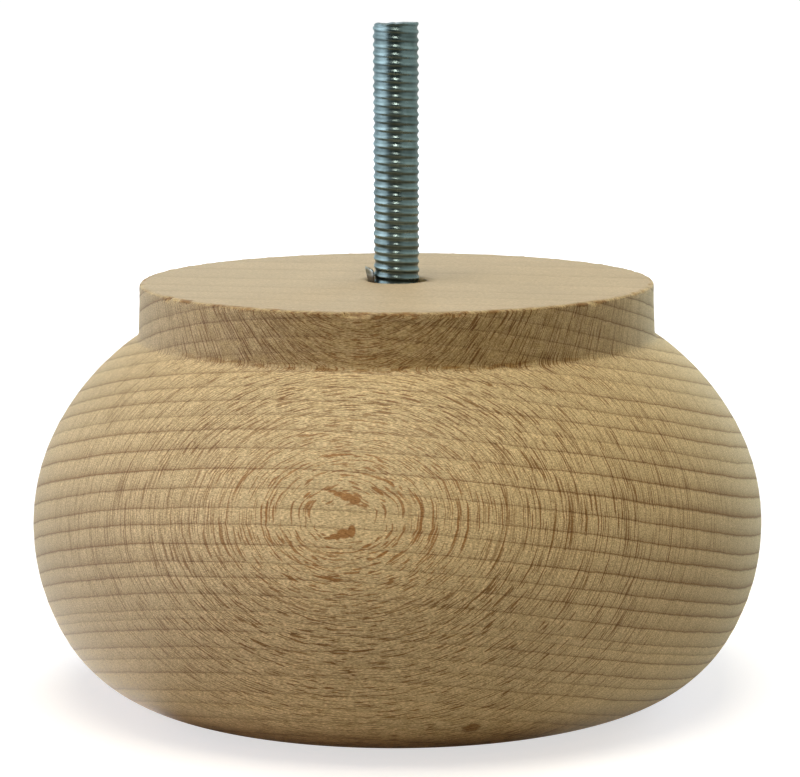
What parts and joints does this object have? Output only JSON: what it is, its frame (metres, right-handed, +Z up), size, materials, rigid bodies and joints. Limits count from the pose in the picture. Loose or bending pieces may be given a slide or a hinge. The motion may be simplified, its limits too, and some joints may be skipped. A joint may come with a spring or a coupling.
{
  "type": "furniture foot",
  "caption": "Squat bun-shaped turned wooden furniture foot with a short collar, a flat top face and a central threaded stud.",
  "frame": {"origin": "centre of the flat base, on the floor", "axes": "+Z up along the turning axis and the stud; the foot is round about it, and -Y faces the picture's camera"},
  "size_m": [0.127, 0.127, 0.116],
  "materials": {
    "bare_beech": "matte",
    "insert_zinc_plated_steel": "satin",
    "stud_zinc_plated_steel": "satin"
  },
  "bodies": {
    "root": {"turned_body": "bare_beech", "threaded_insert": "insert_zinc_plated_steel", "stud": "stud_zinc_plated_steel"}
  },
  "joints": []
}
